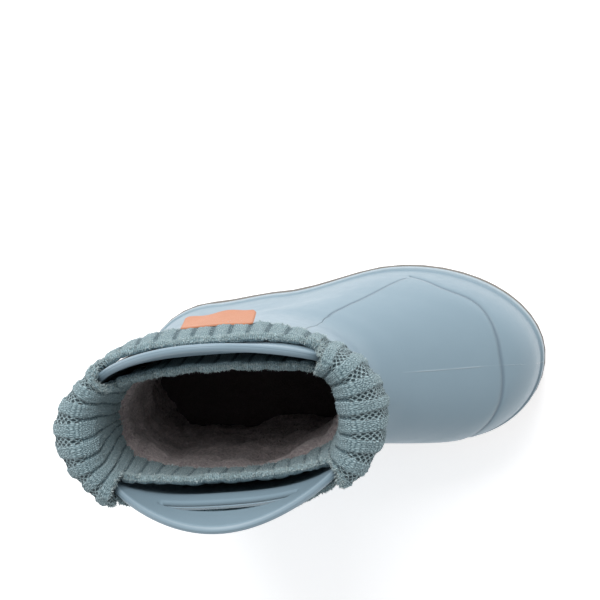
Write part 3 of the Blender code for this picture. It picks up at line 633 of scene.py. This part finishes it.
# Lining: dense brown-grey pile knitted on a backing, cut to shape and glued inside the wall, from the cuff's
# inner hem down to the footbed. It stands in soft waves where the backing is loose.
LINING_TOP, LINING_ROWS, LINING_COLUMNS = 0.1275, 120, 300
PILE, PILE_LESS_BELOW, PILE_LESS_AT_TOP, LEAST_PILE = 0.0066, 0.0030, 0.0042, 0.0022


def ripple(points, scale, seed, waves=9):
    """An uneven field round 0: sine waves in seeded directions, summed, over the root of their number."""
    draw = np.random.default_rng(seed)
    directions = unit(draw.normal(size=(waves, 3))) * draw.uniform(0.7, 1.5, (waves, 1))
    directions = directions * (2.0 * math.pi / scale)
    phases = draw.uniform(0.0, 2.0 * math.pi, waves)
    total = np.zeros(points.shape[:-1])
    for direction, phase in zip(directions, phases):
        total += np.sin(points @ direction + phase)
    return total / math.sqrt(waves)


pile, tree, shader, place = new_material("brown_grey_pile")
tufts = noise(tree, place, 900.0, 3.0, 0.7)
shade = mixture(tree, (tufts, 0.7), (noise(tree, place, 90.0, 3.0), 0.5))
colour = blend(tree, between(tree, shade, 0.35, 0.85), (0.095, 0.072, 0.072), (0.600, 0.500, 0.495))
tree.links.new(colour, shader.inputs["Base Color"])
shader.inputs["Roughness"].default_value = 1.0
shader.inputs["Sheen Weight"].default_value = 0.25
shader.inputs["Sheen Roughness"].default_value = 0.5
relief(tree, shader, tufts, 1.0, 0.0012)

top_row = float(np.interp(LINING_TOP, fine_heights, fine_rows))
lining_rows = np.linspace(top_row, 3.45, LINING_ROWS)[:, None]
wall = shell(lining_rows, even_angles(LINING_COLUMNS)[None])
inward = -outward(wall[::-1])[::-1]
share = np.linspace(0.0, 1.0, LINING_ROWS)[:, None]
loft = PILE - PILE_LESS_BELOW * smoothstep(share / 0.55)
loft = loft - PILE_LESS_AT_TOP * (1.0 - smoothstep(share / 0.045))
for wave, scale, seed in ((0.0011, 0.032, 3), (0.0005, 0.011, 4), (0.00022, 0.0030, 5)):
    loft = loft + wave * ripple(wall, scale, seed)
fur = wall + inward * (WALL + np.maximum(loft, LEAST_PILE))[..., None]
lining = mesh_piece("pile_lining", fur, sheet_faces(LINING_ROWS, LINING_COLUMNS), pile, {})


# Insole: a footbed die-cut from dark brown felt, laid loose on the wall's turned-in edge. It keeps the
# solid's shape and gets the felt's matted fibres.
felt, tree, shader, place = new_material("dark_brown_felt")
matting = noise(tree, place, 1400.0, 4.0, 0.8, 0.6)
colour = blend(tree, matting, (0.035, 0.028, 0.028), (0.130, 0.105, 0.105))
tree.links.new(colour, shader.inputs["Base Color"])
shader.inputs["Roughness"].default_value = 1.0
relief(tree, shader, matting, 0.8, 0.0005)
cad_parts["insole"].material_slots[0].material = felt


# Outsole: one moulding of harder grey-brown rubber with its tread blocks, bonded under the upper's lip. It
# keeps the solid's shape and gets the matt, slightly dusty skin of moulded tread rubber.
tread, tree, shader, place = new_material("grey_brown_tread_rubber")
dust = noise(tree, place, 60.0, 5.0, 0.65)
pores = noise(tree, place, 2400.0, 2.0)
tree.links.new(blend(tree, dust, (0.265, 0.240, 0.218), (0.350, 0.318, 0.290)), shader.inputs["Base Color"])
tree.links.new(between(tree, dust, 0.3, 0.7, 0.55, 0.75), shader.inputs["Roughness"])
relief(tree, shader, mixture(tree, (pores, 0.3), (dust, 0.4)), 0.6, 0.0004)
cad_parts["outsole"].material_slots[0].material = tread


# Knit cuff: a tube of soft grey-blue rib knit, sewn in below the rim, folded out over it and slit for both
# handles, its cut edges left raw. Three smooth wales stand up in each rib, and where the fold is stretched
# round the boot's back and front, open-work shows between the ribs.
KNIT, FABRIC, RIBS = 0.0030, 0.0032, 40
CUFF_INSIDE, CUFF_OUTSIDE, CUFF_CREST = 0.030, 0.017, 0.0062
# From the inner hem over the fold to the outer hem: leg, share of its depth, and how far the fabric's middle
# lies from the shaft's surface at the lateral and medial side, the back and the front, in fabric thicknesses.
CUFF_SECTION = (
    ("inside", 1.00, -2.30, -2.15, -2.30, -2.30),
    ("inside", 0.66, -2.55, -2.20, -2.15, -2.15),
    ("inside", 0.33, -2.70, -2.30, -1.95, -1.95),
    ("inside", 0.04, -2.20, -2.36, -1.62, -1.62),
    ("crest", 0.55, -1.60, -1.78, -1.10, -1.10),
    ("crest", 1.00, -0.30, -0.10, 0.60, 0.60),
    ("crest", 0.45, 0.50, 0.92, 2.25, 2.30),
    ("outside", 0.06, 0.56, 1.05, 2.75, 2.85),
    ("outside", 0.35, 0.72, 1.14, 3.00, 3.05),
    ("outside", 0.68, 0.80, 1.22, 2.95, 2.95),
    ("outside", 1.00, 0.90, 1.30, 2.50, 2.55),
)
BACK_TURN, FRONT_TURN, TURN_POWER = 0.58, 0.80, 1.8
MEDIAL_SPREAD, MEDIAL_TUCK, END_TUCK = 0.0008, 0.0027, 0.24
FIRST_SLIT_ROW, LAST_SLIT_ROW, SLIT_END, SLIT_ROUND, SLIT_SHORT = 3.0, 7.0, 0.98, 0.002, 0.0020
HEM_ROUND, CUT_ROUND, RIB_HEIGHT, WALE_HEIGHT, HEM_SCALLOP = 0.0017, 0.0010, 0.00080, 0.00012, 0.0020


def section_line(entry, angle):
    """One line of the cuff's section round the boot: the shaft's surface at its height, moved outward by the
    offset at the sides, which fades to the offset at the back or front, and by the handles' lean."""
    leg, drop, lateral, medial, back, front = entry
    on_lateral, at_back = np.sin(angle) >= 0.0, np.cos(angle) > 0.0
    side = np.where(on_lateral, lateral, medial)
    end = np.where(at_back, back, front)
    turn_width = RIM_HALF * np.where(at_back, BACK_TURN, FRONT_TURN)
    fade = 1.0 - np.clip(np.abs(shell(RIM_ROW, angle)[:, 1]) / turn_width, 0.0, 1.0) ** TURN_POWER
    off = FABRIC * (side + (end - side) * fade)
    depth = {"inside": -CUFF_INSIDE, "crest": CUFF_CREST, "outside": -CUFF_OUTSIDE}[leg]
    level = SHAFT_TOP + drop * depth
    share = handle_share(angle)
    if leg == "outside":
        under = MEDIAL_SPREAD - MEDIAL_TUCK * np.minimum(1.6 * share**2, 1.0)
        off = off + np.where(on_lateral, 0.0, under * (1.0 - fade))
    if off.mean() < 0.0:
        off = off * (1.0 - END_TUCK * smoothstep((np.abs(share) - 0.55) / 0.45))
    if leg != "inside":
        off = off + handle_lean(angle, level)
    surface = shaft(np.full(len(angle), level), angle)
    points = surface + level_out(surface) * off[:, None]
    points[:, 2] = level
    return points


def knit_grid(count, spacing):
    """The fabric's middle surface: Catmull-Rom curves across the section's lines, in even steps. Returns the
    angles, the points, each line's row of the section and its length along it, and the slit's two lengths."""
    angle = even_angles(count)
    lines = np.stack([section_line(entry, angle) for entry in CUFF_SECTION])
    fine = np.linspace(0.0, len(lines) - 1.0, 800)
    lengths = np.linalg.norm(np.diff(curve_through(lines, fine), axis=0), axis=2).mean(1)
    run = np.concatenate([[0.0], np.cumsum(lengths)])
    even_run = np.linspace(0.0, run[-1], int(run[-1] / spacing))
    rows = np.interp(even_run, run, fine)
    first, last = np.interp([FIRST_SLIT_ROW, LAST_SLIT_ROW], fine, run)
    return angle, curve_through(lines, rows), rows, even_run, first, last


def knit_side(name, count, spacing, face, material):
    """One face of the fabric: the middle surface moved out by half the fabric and the ribs' height. At hems
    and slits the height falls to 0 on a quarter round, where both faces meet."""
    angle, middle, rows, run, first, last = knit_grid(count, spacing)
    row, run_column = rows[:, None], run[:, None]
    around = np.roll(middle, -1, axis=1) - np.roll(middle, 1, axis=1)
    normal = unit(np.cross(around, np.gradient(middle, axis=0)))
    tangent = unit(np.gradient(middle, axis=0))
    forward = unit(around) * np.sign(around[..., :1])

    # Ribs by number, drawn together at the back and slanting a little inside the medial leg.
    rib = np.arange(count)[None] / count * RIBS + 0.0 * row
    back_pull = np.exp(-(((rib + RIBS / 2.0) % RIBS - RIBS / 2.0 + 1.0) / 1.6) ** 2)
    rib = rib + 0.30 * back_pull * np.sin((row - 3.0) * 0.55)
    rib = rib - 0.54 * np.clip(1.0 - row / 4.5, 0.0, 1.0) * smoothstep(-1.6 * np.sin(angle))[None]

    # Distance from the slit's cut edge, which wavers from rib to rib, negative inside the slit.
    s = handle_share(angle)[None] * HANDLE_LENGTH / 2.0 + 0.0 * row
    q = run_column - (first + last) / 2.0
    wobble = 0.0004 * ripple(middle, 0.0032, 11) - 0.0002 * np.cos(2.0 * math.pi * rib)
    a = np.abs(s) - SLIT_END * HANDLE_LENGTH / 2.0 + SLIT_ROUND + wobble + SLIT_SHORT * smoothstep(q / 0.004)
    b = np.abs(q) - (last - first) / 2.0 + SLIT_ROUND + wobble
    distance = np.hypot(np.maximum(a, 0), np.maximum(b, 0)) + np.minimum(np.maximum(a, b), 0) - SLIT_ROUND
    hole = distance < 0.0
    cut = hole[:-1] & hole[1:] & np.roll(hole[:-1], -1, 1) & np.roll(hole[1:], -1, 1)
    push = np.where(hole & (distance > -SLIT_ROUND), -distance, 0.0)
    q_way = np.where(b > a, np.sign(q), 0.0)
    s_way = np.where(b > a, 0.0, np.sign(s))
    from_slit = np.maximum(distance, 0.0)
    hem = np.minimum(run, run[-1] - run)[:, None]
    edge = np.minimum(hem, from_slit)
    soften = bulge_over(edge / np.where(hem < from_slit, HEM_ROUND, CUT_ROUND))

    # Height of ribs and wales: flattened beside the handles, and more so along the cut edges.
    ridge = np.abs((rib % 1.0) - 0.5) * 2.0
    at_ends = smoothstep((np.abs(s) / (HANDLE_LENGTH / 2.0) - 0.74) / 0.20)
    outer = smoothstep((row - 4.2) / 2.2)
    crown = 1.0 - smoothstep((ridge - 0.60 + 0.27 * outer * at_ends) / 0.36)
    wales = 0.5 - 0.5 * np.cos(2.0 * math.pi * np.clip((rib % 1.0 - 0.5) / 0.62, -0.5, 0.5) * 3.0 + math.pi)
    cut_edge = np.exp(-((from_slit / 0.0022) ** 2)) * (1.0 - at_ends)
    flat = (0.38 + 0.62 * at_ends * smoothstep((row - 1.5) / 3.0)) * (1.0 - 0.9 * cut_edge)
    rise = RIB_HEIGHT * crown * flat + WALE_HEIGHT * wales * crown
    rise = rise + WALE_HEIGHT * ripple(middle, 0.0016, 7) * face
    high = (KNIT / 2.0 - 0.0002 + rise + face * 0.00030 * ripple(middle, 0.013, 8)) * soften
    points = middle + normal * (face * high)[..., None]
    points = points + tangent * (push * q_way)[..., None] + forward * (push * s_way)[..., None]
    points[..., 2] = points[..., 2] - HEM_SCALLOP * (crown - 0.45) * smoothstep((row - 9.0) / 1.0)

    faces = sheet_faces(len(rows), count)[~cut.ravel()]
    if face > 0:
        faces = faces[:, ::-1]
    stretched = smoothstep((row - 4.3) / 0.9) * (1.0 - smoothstep((row - 9.2) / 0.6))
    values = {
        "valley": np.exp(-(((1.0 - ridge) / (0.13 + 0.10 * outer)) ** 2)),
        "open": at_ends * stretched * (1.0 - crown),
        "cut_edge": cut_edge,
    }
    piece, used = trimmed_piece(name, points.reshape(-1, 3), faces, material, values)
    # The map along the yarn: ribs round the boot, millimetres along the wales. A face that closes the ring
    # runs on.
    u_map, v_map = rib.ravel()[faces], (run_column + 0.0 * rib).ravel()[faces] * 1000.0
    u_map = np.where(u_map.max(1, keepdims=True) - u_map > RIBS / 2.0, u_map + RIBS, u_map)
    uv = piece.data.uv_layers.new(name="knit")
    uv.data.foreach_set("uv", np.stack([u_map, v_map], -1).reshape(-1).astype(np.float32))
    to_edge = -tangent * q_way[..., None] - forward * s_way[..., None]
    to_hem = tangent * np.sign(run - run[-1] / 2.0)[:, None, None]
    open_side = np.where((hem < from_slit)[..., None], to_hem, to_edge)
    return piece, (points, normal * face, open_side, edge, used)


# The yarn: V-shaped stitches in wales, five to a rib, courses 1.05 mm apart, over uneven lumps of yarn, with
# painted shade between stitches, in the furrows between ribs and in the open-work's slanting lattice holes.
WALES, COURSE, LATTICE_SLANT, LATTICE_FINE, LUMPS, LUMP_LENGTH = 5.0, 1.05, 0.74, 0.80, 9.0, 0.90
yarn, tree, shader, place = new_material("grey_blue_rib_knit")
yarn_map = node(tree, "ShaderNodeUVMap", {}, uv_map="knit").outputs["UV"]
split = node(tree, "ShaderNodeSeparateXYZ", {"Vector": yarn_map})
rib_at, along_at = split.outputs["X"], split.outputs["Y"]
waver = maths(tree, "SUBTRACT", noise(tree, place, 420.0, 2.0), 0.5)
wale = mixture(tree, (rib_at, WALES), (waver, 0.35))
course = mixture(tree, (along_at, 1.0 / COURSE), (waver, 0.5))
off_wale = maths(tree, "ABSOLUTE", maths(tree, "SUBTRACT", maths(tree, "FRACT", wale), 0.5))
leg = maths(tree, "SINE", maths(tree, "MULTIPLY", off_wale, 2.0 * math.pi))
bend = maths(tree, "FRACT", mixture(tree, (course, 1.0), (off_wale, 1.10)))
loop = maths(tree, "SINE", maths(tree, "MULTIPLY", bend, math.pi))
stitch = maths(tree, "MULTIPLY", maths(tree, "POWER", leg, 0.55), maths(tree, "POWER", loop, 0.7))
lattice = [
    maths(tree, "SINE", mixture(tree, (wale, LATTICE_FINE * math.pi), (course, way * LATTICE_FINE * math.pi)))
    for way in (LATTICE_SLANT, -LATTICE_SLANT)
]
holes = between(tree, maths(tree, "ABSOLUTE", maths(tree, "MULTIPLY", *lattice)), 0.25, 0.52)
holes = maths(tree, "MULTIPLY", holes, between(tree, field(tree, "open"), 0.18, 0.48))
fuzz = noise(tree, place, 1500.0, 4.0, 0.8)
cloud = noise(tree, place, 70.0, 2.0)
lump_place = node(
    tree,
    "ShaderNodeCombineXYZ",
    {"X": maths(tree, "MULTIPLY", rib_at, LUMPS), "Y": maths(tree, "DIVIDE", along_at, LUMP_LENGTH)},
)
lumps = node(
    tree,
    "ShaderNodeTexVoronoi",
    {"Vector": lump_place.outputs["Vector"], "Scale": 1.0, "Randomness": 0.85},
    feature="DISTANCE_TO_EDGE",
    voronoi_dimensions="2D",
)
lump = between(tree, lumps.outputs["Distance"], 0.03, 0.34)
not_whole = mixture(tree, (field(tree, "cut_edge"), 1.0), (field(tree, "open"), 1.0), clamp=True)
# Painted shade in the furrows between the ribs, left out at cut edges and in the open-work.
painted_furrow_shade = maths(tree, "MULTIPLY", field(tree, "valley"), maths(tree, "SUBTRACT", 1.0, not_whole))
level = mixture(
    tree,
    (stitch, 0.46),
    (lump, 0.50),
    (fuzz, 0.9),
    (painted_furrow_shade, -0.95),
    (field(tree, "cut_edge"), 0.20),
    (field(tree, "open"), 0.30),
    start=-0.45,
    clamp=True,
)
# Painted shade: the yarn runs to near black in the gaps between stitch loops and in the furrows between ribs.
colour = blend(tree, level, (0.022, 0.066, 0.084), (0.450, 0.600, 0.635))
colour = blend(tree, maths(tree, "MULTIPLY", cloud, 0.25), colour, (0.30, 0.38, 0.42))
# Painted shade: the open-work's lattice holes are coloured near black.
colour = blend(tree, maths(tree, "MULTIPLY", holes, 0.97), colour, (0.010, 0.028, 0.036))
tree.links.new(colour, shader.inputs["Base Color"])
shader.inputs["Roughness"].default_value = 0.95
shader.inputs["Specular IOR Level"].default_value = 0.2
shader.inputs["Sheen Weight"].default_value = 0.34
shader.inputs["Sheen Roughness"].default_value = 0.45
shader.inputs["Sheen Tint"].default_value = (0.75, 0.88, 0.92, 1.0)
relief(tree, shader, mixture(tree, (stitch, 0.5), (fuzz, 0.6), (lump, 0.8), (holes, -1.8)), 0.9, 0.0005)

cuff, fibre_roots = knit_side("rib_knit_cuff", 640, 0.00046, 1.0, yarn)
cuff_back, _ = knit_side("rib_knit_cuff_inner_face", 320, 0.0010, -1.0, yarn)
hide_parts("knit_cuff")


# Loose fibres of the brushed yarn, paler than the knit: thick yarn ends along the slits' raw edges, and thin
# fluff, most of it there too. Each is caught in the stitches at one end and free at the other.
SPIKE_FACES = np.array(
    [
        (0, 2, 1), (0, 1, 4), (0, 4, 3), (1, 2, 5), (1, 5, 4),
        (2, 0, 3), (2, 3, 5), (3, 4, 6), (4, 5, 6), (5, 3, 6),
    ]
)
SPIKE_POINTS, KNEE = 7, 0.55


def fibre_piece(name, roots, count, seed, material, spread, reach, width):
    """Thin bent spikes on a grid's points: a triangle at the root, one smaller at the bend, and a tip. Spread
    is how many stand away from the cut edges, reach and width the longest and thickest in metres."""
    points, normals, open_side = (part.reshape(-1, 3) for part in roots[:3])
    edge, used = (part.ravel() for part in roots[3:])
    draw = np.random.default_rng(seed)
    weight = used * (spread + np.exp(-((edge / 0.0011) ** 2)))
    at = draw.choice(len(weight), count, p=weight / weight.sum())
    near = np.exp(-((edge[at] / 0.0012) ** 2))[:, None]
    way = normals[at] * (1.0 - 0.45 * near) + open_side[at] * near * 0.9
    way = unit(way + 0.75 * draw.normal(size=(count, 3)))
    bent = unit(way + 0.9 * draw.normal(size=(count, 3)))
    length = draw.uniform(0.4, 1.0, (count, 1)) * reach * (0.75 + 0.4 * near)
    thick = draw.uniform(0.5, 1.0, (count, 1)) * width
    across = unit(np.cross(way, [0.31, 0.87, 0.38]))
    other = np.cross(way, across)
    ring = [across, -0.5 * across + 0.87 * other, -0.5 * across - 0.87 * other]
    base = points[at] - normals[at] * 0.0001
    knee = base + way * length * KNEE
    tip = knee + bent * length * (1.0 - KNEE)
    corners = [base + r * thick for r in ring] + [knee + r * thick * 0.7 for r in ring] + [tip]
    faces = (np.arange(count)[:, None, None] * SPIKE_POINTS + SPIKE_FACES[None]).reshape(-1, 3)
    pale = np.repeat(draw.uniform(0.0, 1.0, count), SPIKE_POINTS)
    return mesh_piece(name, np.stack(corners, 1), faces, material, {"pale": pale})


fluff, tree, shader, place = new_material("pale_yarn_fibres")
tree.links.new(
    blend(tree, field(tree, "pale"), (0.24, 0.35, 0.37), (0.60, 0.70, 0.70)), shader.inputs["Base Color"]
)
shader.inputs["Roughness"].default_value = 1.0
shader.inputs["Sheen Weight"].default_value = 0.4
fibre_piece("rib_knit_cuff_fibres", fibre_roots, 14000, 21, fluff, 0.055, 0.0014, 0.00011)
fibre_piece("rib_knit_cuff_cut_ends", fibre_roots, 3200, 22, fluff, 0.0, 0.0014, 0.00024)


# Label: a small strip of smooth tan leather, cut with round corners and left bare. Its upper edge is caught
# in the cuff's hem on the lateral side, and it curls a little away from the shaft below.
LABEL_LENGTH, LABEL_HEIGHT, LABEL_THICK, LABEL_LIFT = 0.026, 0.015, 0.0010, 0.0052
LABEL_FLARE, LABEL_TWIST, LABEL_WAVE, LABEL_SHIFT = 0.0028, 0.0008, 0.0004, 0.0020
LABEL_CORNER, LABEL_ROUND, HEM_CLEAR, LABEL_ROWS, LABEL_COLUMNS = 0.0025, 0.0005, 0.0008, 54, 90
leather, tree, shader, place = new_material("plain_tan_leather")
grain = node(tree, "ShaderNodeTexVoronoi", {"Vector": place, "Scale": 1600.0}, feature="DISTANCE_TO_EDGE")
tone = noise(tree, place, 160.0, 4.0, 0.6)
# Painted shade: the leather darkens within 0.9 mm of its edges.
painted_edge_shade = between(tree, field(tree, "border"), 0.15, 0.9, 0.55, 0.0)
colour = blend(tree, tone, (0.455, 0.185, 0.098), (0.550, 0.245, 0.140))
tree.links.new(blend(tree, painted_edge_shade, colour, (0.420, 0.160, 0.075)), shader.inputs["Base Color"])
shader.inputs["Roughness"].default_value = 0.55
relief(tree, shader, mixture(tree, (grain.outputs["Distance"], 2.0), (tone, 0.8)), 0.5, 0.0002)

hem_angles = even_angles(1440)
hem_line = section_line(CUFF_SECTION[-1], hem_angles)
hem_line = hem_line + level_out(hem_line) * HEM_CLEAR
hem_line = hem_line[np.sin(hem_angles) > 0.2]
hem_line = hem_line[np.argsort(hem_line[:, 0])]
label_middle = SHAFT_BACK + SHAFT_LENGTH / 2.0 - HEEL_SETBACK - HANDLE_SKEW + LABEL_SHIFT
across, down = np.meshgrid(np.linspace(-1.0, 1.0, LABEL_COLUMNS), np.linspace(0.0, 1.0, LABEL_ROWS))
from_end = np.minimum(down, 1.0 - down) * LABEL_HEIGHT
in_corner = np.maximum(LABEL_CORNER - from_end, 0.0)
shorten = LABEL_CORNER - np.sqrt(np.maximum(LABEL_CORNER**2 - in_corner**2, 0.0))
flare = (LABEL_FLARE + LABEL_TWIST * across) * down**1.4 + LABEL_WAVE * np.sin(across * 5.0 + 0.6) * down
x = label_middle + across * (LABEL_LENGTH / 2.0 - shorten)
y = np.interp(x, hem_line[:, 0], hem_line[:, 1]) + LABEL_THICK / 2.0 + flare
z = SHAFT_TOP - CUFF_OUTSIDE + LABEL_LIFT - np.sqrt(np.maximum((down * LABEL_HEIGHT) ** 2 - flare**2, 0.0))
sheet = np.stack([x, y, z], -1)
face_out = unit(np.cross(np.gradient(sheet, axis=0), np.gradient(sheet, axis=1)))
face_out = face_out * np.sign(face_out[..., 1:2])
border = np.minimum((1.0 - np.abs(across)) * LABEL_LENGTH / 2.0, from_end)
half_thick = LABEL_THICK / 2.0 * bulge_over(border / LABEL_ROUND)
front = sheet + face_out * half_thick[..., None]
rear = sheet - face_out * half_thick[..., None]
label_faces = sheet_faces(LABEL_ROWS, LABEL_COLUMNS, closed=False)
label = mesh_piece(
    "leather_label",
    np.concatenate([front.reshape(-1, 3), rear.reshape(-1, 3)]),
    np.concatenate([label_faces, label_faces[:, ::-1] + LABEL_ROWS * LABEL_COLUMNS]),
    leather,
    {"border": np.concatenate([border.ravel(), border.ravel()]) * 1000.0},
)
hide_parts("label")
